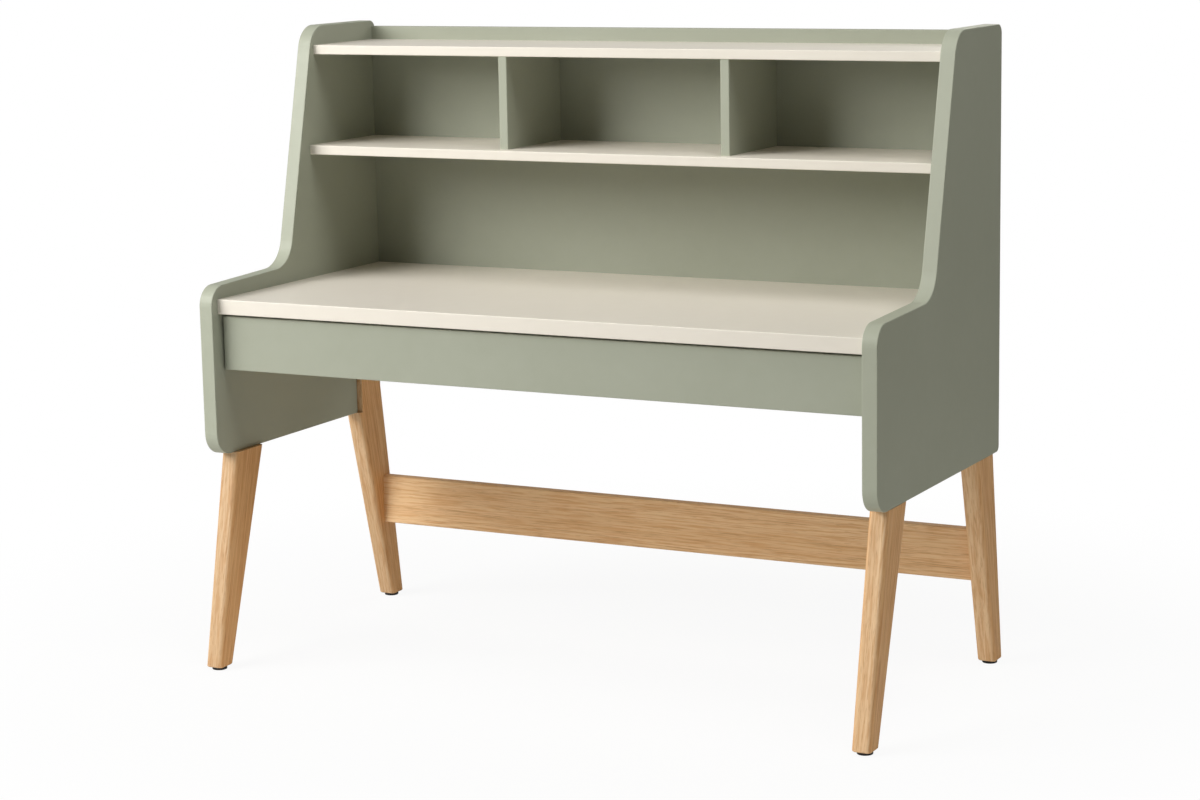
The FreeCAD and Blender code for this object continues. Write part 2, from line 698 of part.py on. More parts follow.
floor_room = box("floor_room",
                 ("-box_inner_half - groove_depth", "box_inner_half + groove_depth"),
                 ("box_front_rear - groove_depth", "box_back_front + groove_depth"),
                 ("floor_low - joint_clearance / 2", "floor_high + joint_clearance / 2"))
node("drawer_floor", box("drawer_floor",
                         ("-box_inner_half - groove_depth + joint_clearance",
                          "box_inner_half + groove_depth - joint_clearance"),
                         ("box_front_rear - groove_depth + joint_clearance",
                          "box_back_front + groove_depth - joint_clearance"),
                         ("floor_low", "floor_high")))
across_box = ("-box_inner_half", "box_inner_half")
box_front_board = box("box_front_board", across_box, ("drawer_front_back", "box_front_rear"),
                      ("box_bottom", "box_top"))
node("drawer_box_front", cut("drawer_box_front", box_front_board,
                             [floor_room, corner_holes, corner_left_holes, face_holes, face_left_holes]))
box_back_board = box("box_back_board", across_box, ("box_back_front", "box_rear"),
                     ("box_bottom", "box_top"))
node("drawer_back", cut("drawer_back", box_back_board, [floor_room, corner_holes, corner_left_holes]))
box_side_board = box("box_side_board", ("box_inner_half", "box_half"), ("drawer_front_back", "box_rear"),
                     ("box_bottom", "box_top"))
node_pair("drawer_{}_side", cut("drawer_right_side", box_side_board, [floor_room, corner_holes, slide_holes]))

# Telescopic runners: a rail on the side panel, a slide on the drawer and a
# middle member between them, each a steel channel that nests in the next.


def channel(name, solid_across, hollow_across, half_height):
    """A channel along the drawer's travel: a bar less the hollow between its flanges."""
    bar = box(name + "_bar", solid_across, ("runner_front", "runner_rear"),
              (f"box_middle - {half_height}", f"box_middle + {half_height}"))
    hollow = box(name + "_hollow", hollow_across, ("runner_front - runner_wall", "runner_rear + runner_wall"),
                 (f"box_middle - {half_height} + runner_wall", f"box_middle + {half_height} - runner_wall"))
    return cut(name + "_channel", bar, [hollow])


rail = channel("rail", ("inner_half - rail_flange", "inner_half"),
               ("inner_half - rail_flange - runner_wall", "inner_half - runner_wall"), "rail_half")
node_pair("{}_runner_rail", cut("right_runner_rail", rail, [rail_holes]))
middle = channel("middle", ("middle_web - middle_flange", "middle_web"),
                 ("middle_web - middle_flange - runner_wall", "middle_web - runner_wall"), "middle_half")
node_pair("{}_runner_middle", middle)
slide = channel("slide", ("box_half", "box_half + slide_flange"),
                ("box_half + runner_wall", "box_half + slide_flange + runner_wall"), "slide_half")
node_pair("{}_runner_slide", cut("right_runner_slide", slide, [slide_holes]))

# Check the document, then write one file for each node.

doc.recompute()
for item in doc.Objects:
    if "Invalid" in item.State or "Error" in item.State:
        raise RuntimeError(f"{item.Label} did not build: {item.State}")
for piece in nodes:
    if piece.Shape.isNull() or not piece.Shape.isValid():
        raise RuntimeError(f"{piece.Label} has no valid shape")
os.makedirs("parts", exist_ok=True)
for piece in nodes:
    piece.Shape.exportStep(f"parts/{piece.Label}.step")
whole = Part.makeCompound([piece.Shape for piece in nodes])
bounds = whole.BoundBox
print(len(nodes), "nodes;", "box", [round(n, 2) for n in (bounds.XMin, bounds.YMin, bounds.ZMin,
                                                          bounds.XMax, bounds.YMax, bounds.ZMax)])
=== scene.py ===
import math

import bmesh
import bpy
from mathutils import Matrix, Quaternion, Vector


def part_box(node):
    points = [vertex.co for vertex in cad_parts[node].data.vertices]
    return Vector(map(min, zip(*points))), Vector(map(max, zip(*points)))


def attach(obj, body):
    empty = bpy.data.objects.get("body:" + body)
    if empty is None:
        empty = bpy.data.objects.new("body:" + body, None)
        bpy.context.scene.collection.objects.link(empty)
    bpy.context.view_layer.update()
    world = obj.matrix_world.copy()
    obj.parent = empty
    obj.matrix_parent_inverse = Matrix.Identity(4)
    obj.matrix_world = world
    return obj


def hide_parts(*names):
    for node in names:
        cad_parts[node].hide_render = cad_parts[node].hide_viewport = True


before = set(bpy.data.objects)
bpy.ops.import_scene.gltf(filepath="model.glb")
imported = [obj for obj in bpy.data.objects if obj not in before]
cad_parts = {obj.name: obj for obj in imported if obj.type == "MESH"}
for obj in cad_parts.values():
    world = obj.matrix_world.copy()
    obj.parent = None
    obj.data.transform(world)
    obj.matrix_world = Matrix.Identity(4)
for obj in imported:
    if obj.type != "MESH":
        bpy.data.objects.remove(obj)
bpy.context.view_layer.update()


# Side panels: one 25 mm board each, sawn to the outline of arm and hutch, its
# edges eased, then sprayed all round with a satin sage lacquer. They carry the
# desktop and the shelves on dowels, and the legs on tenons and laps.
def shade(red, green, blue):
    """A screen colour from 0 to 255 as the linear colour of a shader socket."""
    parts = [value / 255 for value in (red, green, blue)]
    return (*[p / 12.92 if p < 0.04045 else ((p + 0.055) / 1.055) ** 2.4 for p in parts], 1)


def feed(tree, node, values):
    """Link or set a node's inputs, by name or number."""
    for socket, value in values.items():
        if isinstance(value, bpy.types.NodeSocket):
            tree.links.new(value, node.inputs[socket])
        else:
            node.inputs[socket].default_value = value


def put(tree, kind, sockets=None, **settings):
    """Add a node, set its properties, then feed its inputs."""
    node = tree.nodes.new(kind)
    for name, value in settings.items():
        setattr(node, name, value)
    feed(tree, node, sockets or {})
    return node


def group_of(name, kind, inputs, outputs):
    """An empty node group with its sockets, its input node and its output node."""
    tree = bpy.data.node_groups.new(name, kind)
    for way, sockets in (("INPUT", inputs), ("OUTPUT", outputs)):
        for label, socket in sockets.items():
            tree.interface.new_socket(label, in_out=way, socket_type="NodeSocket" + socket)
    return tree, tree.nodes.new("NodeGroupInput"), tree.nodes.new("NodeGroupOutput")


def sum_of(tree, operation, first, second=0.0, third=0.0):
    """One step of arithmetic in a node tree."""
    return put(tree, "ShaderNodeMath", {0: first, 1: second, 2: third}, operation=operation).outputs[0]


def graded(tree, value, low, high, to_low=0.0, to_high=1.0, easing="LINEAR"):
    """A value taken from one range to another and held inside it."""
    ends = {"Value": value, "From Min": low, "From Max": high, "To Min": to_low, "To Max": to_high}
    return put(tree, "ShaderNodeMapRange", ends, interpolation_type=easing).outputs[0]


def mottle(tree, place, scale, detail, roughness=0.5):
    """A cloudy noise, finer with a larger scale."""
    sockets = {"Vector": place, "Scale": scale, "Detail": detail, "Roughness": roughness}
    return put(tree, "ShaderNodeTexNoise", sockets).outputs[0]


def blended(tree, share, first, second, blend_type="MIX"):
    """A colour between two others, or the first one tinted by the second."""
    first_colour, second_colour, blended_colour = 6, 7, 2  # sockets of the Mix node
    sockets = {"Factor": share, first_colour: first, second_colour: second}
    mix = put(tree, "ShaderNodeMix", sockets, data_type="RGBA", blend_type=blend_type)
    return mix.outputs[blended_colour]


def finish_named(name):
    """A new material with its node tree emptied, and its surface shader linked to the output."""
    material = bpy.data.materials.new(name)
    material.use_nodes = True
    tree = material.node_tree
    tree.nodes.clear()
    surface = put(tree, "ShaderNodeBsdfPrincipled")
    put(tree, "ShaderNodeOutputMaterial", {"Surface": surface.outputs[0]})
    return material, tree, surface


def dress(material, *nodes):
    """Give CAD nodes a finish."""
    for name in nodes:
        for material_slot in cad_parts[name].material_slots:
            material_slot.material = material


lacquer_film, film_in, film_out = group_of(
    "lacquer_film", "ShaderNodeTree",
    {"Place": "Vector", "Low tone": "Color", "High tone": "Color", "Smooth": "Float", "Rough": "Float"},
    {"Colour": "Color", "Gloss": "Float", "Peel": "Float"})
film_place = film_in.outputs["Place"]
cloud = mottle(lacquer_film, film_place, scale=4.0, detail=3.0)
patch = mottle(lacquer_film, film_place, scale=45.0, detail=2.0)
cloudiness = put(lacquer_film, "ShaderNodeMix", {"Factor": 0.3, "A": cloud, "B": patch}).outputs[0]
film_tone = graded(lacquer_film, cloudiness, low=0.3, high=0.7)
feed(lacquer_film, film_out, {
    "Colour": blended(lacquer_film, film_tone, film_in.outputs["Low tone"], film_in.outputs["High tone"]),
    "Gloss": graded(lacquer_film, patch, low=0.3, high=0.7, to_low=film_in.outputs["Smooth"],
                    to_high=film_in.outputs["Rough"]),
    "Peel": mottle(lacquer_film, film_place, scale=420.0, detail=1.5),
})

# Which way a face of a board looks: along the desk's width, or up or down.
board_faces, faces_in, faces_out = group_of(
    "board_faces", "ShaderNodeTree", {"Normal": "Vector"}, {"Sideways": "Float", "Level": "Float"})
face = put(board_faces, "ShaderNodeSeparateXYZ", {0: faces_in.outputs["Normal"]})
feed(board_faces, faces_out, {
    "Sideways": sum_of(board_faces, "ABSOLUTE", face.outputs["X"]),
    "Level": sum_of(board_faces, "ABSOLUTE", face.outputs["Z"]),
})


def lacquer(name, film, peel_height, painted_edge_highlight=1.0):
    """A sprayed lacquer: a faint cloudiness in the colour, uneven gloss and orange peel. The last argument
    paints a highlight: how much paler the edges of a board that stands upright across the desk's width come
    out."""
    material, tree, surface = finish_named(name)
    place = put(tree, "ShaderNodeTexCoord")
    coat = put(tree, "ShaderNodeGroup", {"Place": place.outputs["Object"], **film}, node_tree=lacquer_film)
    painted = coat.outputs["Colour"]
    # Painted highlight: the faces that do not look along the desk's width, the board's edges, are made
    # paler.
    if painted_edge_highlight > 1.0:
        faces = put(tree, "ShaderNodeGroup", {"Normal": place.outputs["Normal"]}, node_tree=board_faces)
        lift = graded(tree, faces.outputs["Sideways"], low=0.2, high=0.9, to_low=painted_edge_highlight, to_high=1.0)
        highlighted = put(tree, "ShaderNodeVectorMath", {0: painted, "Scale": lift}, operation="SCALE")
        painted = highlighted.outputs[0]
    bump = put(tree, "ShaderNodeBump",
               {"Height": coat.outputs["Peel"], "Strength": 0.25, "Distance": peel_height})
    feed(tree, surface, {"Base Color": painted, "Roughness": coat.outputs["Gloss"],
                         "Normal": bump.outputs[0], "Specular IOR Level": 0.35})
    return material


SATIN = {"Smooth": 0.42, "Rough": 0.52}
SATIN_PEEL = 0.0002
SAGE = {"Low tone": shade(163, 167, 150), "High tone": shade(168, 172, 156), **SATIN}
# The sides' and dividers' edges get a painted highlight, 9 percent paler than their faces.
sage_boards = lacquer("sage_boards", SAGE, SATIN_PEEL, painted_edge_highlight=1.09)
dress(sage_boards, "left_side_panel", "right_side_panel")

# Back panel: a 12 mm board behind the hutch and down behind the drawer, and
# screwed through its face into the desktop and shelves. Its sage is a trace
# darker than the sides': painted shade for the inside of the hutch.
SHADED_SAGE = {"Low tone": shade(157, 161, 144), "High tone": shade(162, 166, 150), **SATIN}
dress(lacquer("sage_back_painted_shade", SHADED_SAGE, SATIN_PEEL), "back_panel")

# Desktop and two shelves: pale cream boards, 25 and 16 mm, lacquered over their
# eased edges a little glossier than the sides, and held between them by dowels.
CREAM = {"Low tone": shade(233, 227, 215), "High tone": shade(236, 230, 219), "Smooth": 0.34, "Rough": 0.44}
CREAM_PEEL = 0.00012
dress(lacquer("cream_lacquer", CREAM, CREAM_PEEL), "desktop", "middle_shelf", "top_shelf")

# Two dividers: 16 mm boards painted sage, which make three bays between the
# shelves. Dowels hold them above and below.
dress(sage_boards, "left_divider", "right_divider")


# Four legs: tapered solid oak with soft edges, leaning out to the front and to
# the rear. The grain runs along each leg, and the figure comes from the growth
# rings that the saw has cut through.
wood_grain, grain_in, grain_out = group_of(
    "wood_grain", "ShaderNodeTree",
    {"Place": "Vector", "Pale": "Color", "Mid": "Color", "Spring": "Color", "Pore": "Color",
     "Ring share": "Float", "Streak share": "Float", "Pore share": "Float", "Smooth": "Float"},
    {"Colour": "Color", "Gloss": "Float", "Relief": "Float"})
trunk_place = grain_in.outputs["Place"]


def along_grain(length_share):
    """The place in the trunk with its length pressed together, which draws a noise out along the grain."""
    pressed = put(wood_grain, "ShaderNodeVectorMath", {0: trunk_place, 1: (1, 1, length_share)},
                  operation="MULTIPLY")
    return pressed.outputs[0]


# Growth rings: circles round the pith that wander along the trunk and differ in
# width. Each starts with darker spring wood, which fades out slowly.
RINGS_PER_METRE = 150.0
UNEVEN_YEARS = 2.2
RING_SWAY = (0.022, 0.022, 0)
NOISE_MIDDLE = (0.5, 0.5, 0.5)
wander = put(wood_grain, "ShaderNodeTexNoise", {"Vector": along_grain(0.22), "Scale": 9.0, "Detail": 2.0})
sway = put(wood_grain, "ShaderNodeVectorMath", {0: wander.outputs["Color"], 1: NOISE_MIDDLE},
           operation="SUBTRACT")
swayed = put(wood_grain, "ShaderNodeVectorMath", {0: sway.outputs[0], 1: RING_SWAY, 2: trunk_place},
             operation="MULTIPLY_ADD")
across = put(wood_grain, "ShaderNodeVectorMath", {0: swayed.outputs[0], 1: (1, 1, 0)}, operation="MULTIPLY")
pith_distance = put(wood_grain, "ShaderNodeVectorMath", {0: across.outputs[0]}, operation="LENGTH")
from_pith = pith_distance.outputs["Value"]
season = put(wood_grain, "ShaderNodeTexNoise", {"W": from_pith, "Scale": 70.0, "Detail": 1.0},
             noise_dimensions="1D")
years = sum_of(wood_grain, "MULTIPLY", from_pith, RINGS_PER_METRE)
year_part = sum_of(wood_grain, "FRACT",
                   sum_of(wood_grain, "MULTIPLY_ADD", season.outputs[0], UNEVEN_YEARS, years))
after_spring = graded(wood_grain, year_part, low=0.05, high=0.6, to_low=1.0, to_high=0.0,
                      easing="SMOOTHSTEP")
into_spring = graded(wood_grain, year_part, low=0.86, high=1.0, easing="SMOOTHSTEP")
rings = sum_of(wood_grain, "MAXIMUM", after_spring, into_spring)

# Pores are densest in the spring wood. Rays are short ticks, streaks are darker
# fibres, and the stripe is the slow change of tone across a board.
PORES_IN_SPRING = 0.75
PORES_ALL_YEAR = 0.25
RAYS_TO_PORES = 0.3
MATT_RINGS = 0.12
vessels = mottle(wood_grain, along_grain(0.02), scale=900.0, detail=2.0, roughness=0.6)
open_vessels = graded(wood_grain, vessels, low=0.54, high=0.68)
vessel_share = sum_of(wood_grain, "MULTIPLY_ADD", rings, PORES_IN_SPRING, PORES_ALL_YEAR)
pores = sum_of(wood_grain, "MULTIPLY", open_vessels, vessel_share)
ticks = mottle(wood_grain, along_grain(0.11), scale=560.0, detail=0.0)
rays = graded(wood_grain, ticks, low=0.66, high=0.76)
fibre = mottle(wood_grain, along_grain(0.012), scale=2400.0, detail=1.0)
stripe = mottle(wood_grain, along_grain(0.05), scale=60.0, detail=3.0)
dark_fibre = mottle(wood_grain, along_grain(0.035), scale=330.0, detail=2.0, roughness=0.6)
streaks = graded(wood_grain, dark_fibre, low=0.47, high=0.62)

pore_share = grain_in.outputs["Pore share"]
ray_share = sum_of(wood_grain, "MULTIPLY", pore_share, RAYS_TO_PORES)
wood_tone = graded(wood_grain, stripe, low=0.28, high=0.72)
wood_colour = blended(wood_grain, wood_tone, grain_in.outputs["Pale"], grain_in.outputs["Mid"])
for mask, mask_share, darker in ((rings, grain_in.outputs["Ring share"], "Spring"),
                                 (streaks, grain_in.outputs["Streak share"], "Spring"),
                                 (rays, ray_share, "Pore"),
                                 (pores, pore_share, "Pore")):
    factor = sum_of(wood_grain, "MULTIPLY", mask, mask_share)
    wood_colour = blended(wood_grain, factor, wood_colour, grain_in.outputs[darker])
wood_smooth = grain_in.outputs["Smooth"]
feed(wood_grain, grain_out, {
    "Colour": wood_colour,
    "Gloss": graded(wood_grain, rings, low=0.0, high=1.0, to_low=wood_smooth,
                    to_high=sum_of(wood_grain, "ADD", wood_smooth, MATT_RINGS)),
    "Relief": sum_of(wood_grain, "SUBTRACT", fibre, pores),
})


def timber(name, wood, turn, pith, painted_side_shade=None):
    """Solid wood: turn brings its grain upright, pith moves the board away from the trunk's middle, and the
    last
    argument, when given, is painted shade: it tints the faces that look along the desk's width deeper and
    warmer."""
    material, tree, surface = finish_named(name)
    place = put(tree, "ShaderNodeTexCoord")
    upright = put(tree, "ShaderNodeMapping",
                  {"Vector": place.outputs["Object"], "Location": pith, "Rotation": turn})
    grain = put(tree, "ShaderNodeGroup", {"Place": upright.outputs[0], **wood}, node_tree=wood_grain)
    colour = grain.outputs["Colour"]
    # Painted shade on the faces that look along the desk's width.
    if painted_side_shade is not None:
        faces = put(tree, "ShaderNodeGroup", {"Normal": place.outputs["Normal"]}, node_tree=board_faces)
        side_shade_mask = graded(tree, faces.outputs["Sideways"], low=0.3, high=0.95, easing="SMOOTHSTEP")
        colour = blended(tree, side_shade_mask, colour, painted_side_shade, blend_type="MULTIPLY")
    bump = put(tree, "ShaderNodeBump",
               {"Height": grain.outputs["Relief"], "Strength": 0.3, "Distance": 0.00012})
    feed(tree, surface, {"Base Color": colour, "Roughness": grain.outputs["Gloss"],
                         "Normal": bump.outputs[0], "Specular IOR Level": 0.3})
    return material


def toned(colour, painted_light):
    """A colour made paler or darker by a factor; on the legs this is painted light and shade."""
    return (*[part * painted_light for part in colour[:3]], 1)


OAK = {"Pale": shade(231, 199, 160), "Mid": shade(222, 186, 143), "Spring": shade(204, 156, 108),
       "Pore": shade(168, 119, 75)}
LEG_FIGURE = {"Ring share": 0.25, "Streak share": 0.7, "Pore share": 0.6, "Smooth": 0.46}
# Painted shade for the legs' side faces: deeper and warmer than their fronts.
LEG_SIDE_SHADE = (1.06, 0.905, 0.71, 1)
FRONT_LEAN = math.radians(14.6)
REAR_LEAN = math.radians(11.3)
# Each leg: its lean, where its board lay in the trunk, and how much paler or darker its oak is painted, as
# painted light and shade.
leg_boards = {
    "front_left_leg": (FRONT_LEAN, (0.66, 0.36, 0.0), 0.94),
    "front_right_leg": (FRONT_LEAN, (-0.52, 0.34, 0.9), 1.15),
    "rear_left_leg": (-REAR_LEAN, (0.67, -0.17, 1.7), 0.96),
    "rear_right_leg": (-REAR_LEAN, (-0.51, -0.13, 2.6), 1.18),
}
for leg, (lean, pith, painted_light) in leg_boards.items():
    # Painted light and shade: each leg's oak is scaled paler or darker, and the scale is taken back out on
    # its side faces.
    leg_oak = {part: toned(colour, painted_light) for part, colour in OAK.items()}
    oak_leg = timber("oak_" + leg, {**leg_oak, **LEG_FIGURE}, turn=(lean, 0, 0), pith=pith,
                     painted_side_shade=toned(LEG_SIDE_SHADE, 1 / painted_light))
    dress(oak_leg, leg)

# Rear stretcher: one flat sawn oak board between the rear legs, on dowels. Its
# rings run nearly level with its face, so they draw long arches on it.
# The stretcher's oak is painted paler than the legs': painted light for its place in the shade under the
# desk.
STRETCHER_OAK_PAINTED_LIGHT = {"Pale": shade(250, 213, 167), "Mid": shade(240, 200, 151), "Spring": shade(224, 171, 117),
            "Pore": shade(184, 130, 82)}
STRETCHER_FIGURE = {"Ring share": 0.26, "Streak share": 0.8, "Pore share": 0.7, "Smooth": 0.46}
GRAIN_ALONG_X = (0, -math.pi / 2, 0)
oak_stretcher = timber("oak_stretcher", {**STRETCHER_OAK_PAINTED_LIGHT, **STRETCHER_FIGURE}, turn=GRAIN_ALONG_X,
                       pith=(0.205, -0.33, 0.4))
dress(oak_stretcher, "rear_stretcher")

# Levelling feet: black moulded discs, 6 mm thick, on threaded steel stems, which
# turn in sleeves let into the legs' lower ends. A node tree rounds the disc's rims,
# winds the thread round the stem and joins the two.
DISC_HEIGHT = 0.006
STEM_STARTS = DISC_HEIGHT + 0.0001
BLACK, DULL_BLACK = shade(22, 22, 23), shade(38, 38, 39)
STEM_STEEL = shade(186, 188, 191)
foot_black, foot_tree, foot_surface = finish_named("foot_black")
foot_place = put(foot_tree, "ShaderNodeTexCoord").outputs["Object"]
foot_axes = put(foot_tree, "ShaderNodeSeparateXYZ", {0: foot_place})
is_stem = sum_of(foot_tree, "GREATER_THAN", foot_axes.outputs["Z"], STEM_STARTS)
mould = mottle(foot_tree, foot_place, scale=1800.0, detail=2.0)
foot_grain = put(foot_tree, "ShaderNodeBump", {"Height": mould, "Strength": 0.4, "Distance": 0.0002})
feed(foot_tree, foot_surface, {
    "Base Color": blended(foot_tree, is_stem, blended(foot_tree, mould, BLACK, DULL_BLACK), STEM_STEEL),
    "Metallic": is_stem,
    "Roughness": graded(foot_tree, mould, low=0.3, high=0.7, to_low=0.45, to_high=0.62),
    "Normal": foot_grain.outputs[0],
})

threaded_foot, foot_in, foot_out = group_of(
    "threaded_foot", "GeometryNodeTree",
    {"Places": "Geometry", "Disc radius": "Float", "Disc height": "Float", "Rim": "Float",
     "Stem radius": "Float", "Stem length": "Float", "Pitch": "Float", "Thread depth": "Float",
     "Finish": "Material"},
    {"Feet": "Geometry"})


def foot_sum(operation, first, second=0.0, third=0.0):
    """One step of arithmetic in the tree of the feet."""
    return sum_of(threaded_foot, operation, first, second, third)


def narrowed(shape, share, height):
    """Draw each point of an upright shape in or out to a share of its radius, then lift the shape."""
    sideways = put(threaded_foot, "ShaderNodeCombineXYZ", {"X": share, "Y": share, "Z": 1.0})
    point = put(threaded_foot, "GeometryNodeInputPosition")
    drawn = put(threaded_foot, "ShaderNodeVectorMath", {0: point.outputs[0], 1: sideways.outputs[0]},
                operation="MULTIPLY")
    shaped = put(threaded_foot, "GeometryNodeSetPosition",
                 {"Geometry": shape, "Position": drawn.outputs[0]})
    lift = put(threaded_foot, "ShaderNodeCombineXYZ", {"Z": height})
    return put(threaded_foot, "GeometryNodeTransform",
               {"Geometry": shaped.outputs[0], "Translation": lift.outputs[0]})


foot_point = put(threaded_foot, "ShaderNodeSeparateXYZ",
                 {0: put(threaded_foot, "GeometryNodeInputPosition").outputs[0]})
disc_radius = foot_in.outputs["Disc radius"]
disc_height = foot_in.outputs["Disc height"]
disc_rim = foot_in.outputs["Rim"]
disc = put(threaded_foot, "GeometryNodeMeshCylinder",
           {"Vertices": 48, "Side Segments": 24, "Radius": disc_radius, "Depth": disc_height})
half_disc = foot_sum("MULTIPLY", disc_height, 0.5)
from_middle = foot_sum("ABSOLUTE", foot_point.outputs["Z"])
from_end = foot_sum("SUBTRACT", half_disc, from_middle)
into_rim = foot_sum("MAXIMUM", foot_sum("SUBTRACT", disc_rim, from_end), 0.0)
rim_square = foot_sum("MULTIPLY", disc_rim, disc_rim)
rim_left = foot_sum("SUBTRACT", rim_square, foot_sum("MULTIPLY", into_rim, into_rim))
rim_inset = foot_sum("SUBTRACT", disc_rim, foot_sum("SQRT", foot_sum("MAXIMUM", rim_left, 0.0)))
disc_share = foot_sum("SUBTRACT", 1.0, foot_sum("DIVIDE", rim_inset, disc_radius))
disc_eased = narrowed(disc.outputs[0], disc_share, half_disc)

stem_radius = foot_in.outputs["Stem radius"]
stem_reach = foot_sum("ADD", foot_in.outputs["Stem length"], half_disc)
stem = put(threaded_foot, "GeometryNodeMeshCylinder",
           {"Vertices": 36, "Side Segments": 116, "Radius": stem_radius, "Depth": stem_reach})
round_angle = foot_sum("ARCTAN2", foot_point.outputs["Y"], foot_point.outputs["X"])
round_share = foot_sum("DIVIDE", round_angle, math.tau)
turns = foot_sum("ADD", foot_sum("DIVIDE", foot_point.outputs["Z"], foot_in.outputs["Pitch"]), round_share)
in_groove = foot_sum("PINGPONG", turns, 0.5)
groove = foot_sum("MULTIPLY", in_groove, foot_sum("MULTIPLY", foot_in.outputs["Thread depth"], 2.0))
stem_share = foot_sum("SUBTRACT", 1.0, foot_sum("DIVIDE", groove, stem_radius))
stem_middle = foot_sum("MULTIPLY_ADD", stem_reach, 0.5, half_disc)
stem_wound = narrowed(stem.outputs[0], stem_share, stem_middle)

foot_joined = put(threaded_foot, "GeometryNodeMeshBoolean", operation="UNION", solver="EXACT")
for part in (disc_eased, stem_wound):
    threaded_foot.links.new(part.outputs[0], foot_joined.inputs["Mesh 2"])


def set_at_places(tree, group_in, piece, rotation):
    """Set a piece at each of a tree's places, make the copies real and give them the tree's finish."""
    copies = put(tree, "GeometryNodeInstanceOnPoints",
                 {"Points": group_in.outputs["Places"], "Instance": piece, "Rotation": rotation})
    real = put(tree, "GeometryNodeRealizeInstances", {"Geometry": copies.outputs[0]})
    finished = put(tree, "GeometryNodeSetMaterial",
                   {"Geometry": real.outputs[0], "Material": group_in.outputs["Finish"]})
    return finished.outputs[0]


UPRIGHT = (0, 0, 0)
feed(threaded_foot, foot_out,
     {"Feet": set_at_places(threaded_foot, foot_in, foot_joined.outputs[0], UPRIGHT)})
SHARP_EDGE = math.radians(32)


def made_by(tree, name, places, inputs):
    """A plain mesh that a node tree makes from a mesh of places."""
    maker = bpy.data.objects.new(name + "_maker", places)
    bpy.context.scene.collection.objects.link(maker)
    modifier = maker.modifiers.new("maker", "NODES")
    modifier.node_group = tree
    identifiers = {item.name: item.identifier for item in tree.interface.items_tree}
    for label, value in inputs.items():
        modifier[identifiers[label]] = value
    mesh = bpy.data.meshes.new_from_object(maker.evaluated_get(bpy.context.evaluated_depsgraph_get()))
    mesh.name = name + "_mesh"
    mesh.shade_smooth()
    mesh.set_sharp_from_angle(angle=SHARP_EDGE)
    bpy.data.objects.remove(maker)
    return mesh


def stand_for(node, name, mesh, body):
    """Show a mesh in place of a CAD node, on one of the bodies."""
    piece = bpy.data.objects.new(name, mesh)
    bpy.context.scene.collection.objects.link(piece)
    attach(piece, body)
    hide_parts(node)


foot_details = {"Disc height": DISC_HEIGHT, "Rim": 0.0012, "Stem radius": 0.0039, "Pitch": 0.00125,
                "Thread depth": 0.0005, "Finish": foot_black}
for foot in ("front_left_foot", "front_right_foot", "rear_left_foot", "rear_right_foot"):
    foot_low, foot_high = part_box(foot)
    foot_middle = (foot_low + foot_high) / 2
    foot_dot = bpy.data.meshes.new(foot + "_places")
    foot_dot.from_pydata([(foot_middle.x, foot_middle.y, foot_low.z)], [], [])
    foot_sizes = {**foot_details, "Disc radius": (foot_high.x - foot_low.x) / 2,
                  "Stem length": foot_high.z - foot_low.z - DISC_HEIGHT}
    foot_mesh = made_by(threaded_foot, foot, foot_dot, foot_sizes)
    stand_for(foot, "threaded_" + foot, foot_mesh, foot)

# Drawer: a front without a handle, painted as the body is, screwed to a box of
# clear lacquered birch ply with its floor in grooves. The boards' upper and lower
# edges show the layers of the ply.
dress(lacquer("sage_front", SAGE, SATIN_PEEL), "drawer_front")

PLY_LAYER = 0.0015
EDGE_LOOKS_UP = 0.8
LAYER_ALONG, LAYER_ACROSS = shade(231, 211, 177), shade(190, 158, 115)
ply_layers, ply_in, ply_out = group_of(
    "ply_layers", "ShaderNodeTree", {"Veneer": "Color", "Depth": "Float", "Normal": "Vector"},
    {"Colour": "Color"})
ply_faces = put(ply_layers, "ShaderNodeGroup", {"Normal": ply_in.outputs["Normal"]}, node_tree=board_faces)
is_edge = sum_of(ply_layers, "GREATER_THAN", ply_faces.outputs["Level"], EDGE_LOOKS_UP)
in_layer = sum_of(ply_layers, "PINGPONG", ply_in.outputs["Depth"], PLY_LAYER)
end_grain = graded(ply_layers, in_layer, low=0.4 * PLY_LAYER, high=0.6 * PLY_LAYER, easing="SMOOTHSTEP")
ply_edge = blended(ply_layers, end_grain, LAYER_ALONG, LAYER_ACROSS)
feed(ply_layers, ply_out, {"Colour": blended(ply_layers, is_edge, ply_in.outputs["Veneer"], ply_edge)})


def layered(material, axis):
    """Draw the layers of ply on the faces that look up or down. Axis is the way through the board."""
    tree = material.node_tree
    surface = next(node for node in tree.nodes if node.type == "BSDF_PRINCIPLED")
    veneer = surface.inputs["Base Color"].links[0].from_socket
    place = put(tree, "ShaderNodeTexCoord")
    depth = put(tree, "ShaderNodeSeparateXYZ", {0: place.outputs["Object"]}).outputs[axis]
    board = put(tree, "ShaderNodeGroup",
                {"Veneer": veneer, "Depth": depth, "Normal": place.outputs["Normal"]}, node_tree=ply_layers)
    feed(tree, surface, {"Base Color": board.outputs["Colour"]})
    return material


BIRCH = {"Pale": shade(228, 207, 172), "Mid": shade(219, 195, 156), "Spring": shade(206, 178, 136),
         "Pore": shade(170, 138, 98), "Ring share": 0.2, "Streak share": 0.38, "Pore share": 0.2,
         "Smooth": 0.4}
GRAIN_ALONG_Y = (math.pi / 2, 0, 0)
birch_along_x = timber("birch_along_x", BIRCH, turn=GRAIN_ALONG_X, pith=(0.7, -0.3, 0.0))
birch_along_y = timber("birch_along_y", BIRCH, turn=GRAIN_ALONG_Y, pith=(0.3, 0.8, 0.0))
birch_floor = timber("birch_floor", BIRCH, turn=GRAIN_ALONG_X, pith=(0.7, -0.3, 0.0))
dress(layered(birch_along_x, "Y"), "drawer_box_front", "drawer_back")
dress(layered(birch_along_y, "X"), "drawer_left_side", "drawer_right_side")
dress(birch_floor, "drawer_floor")

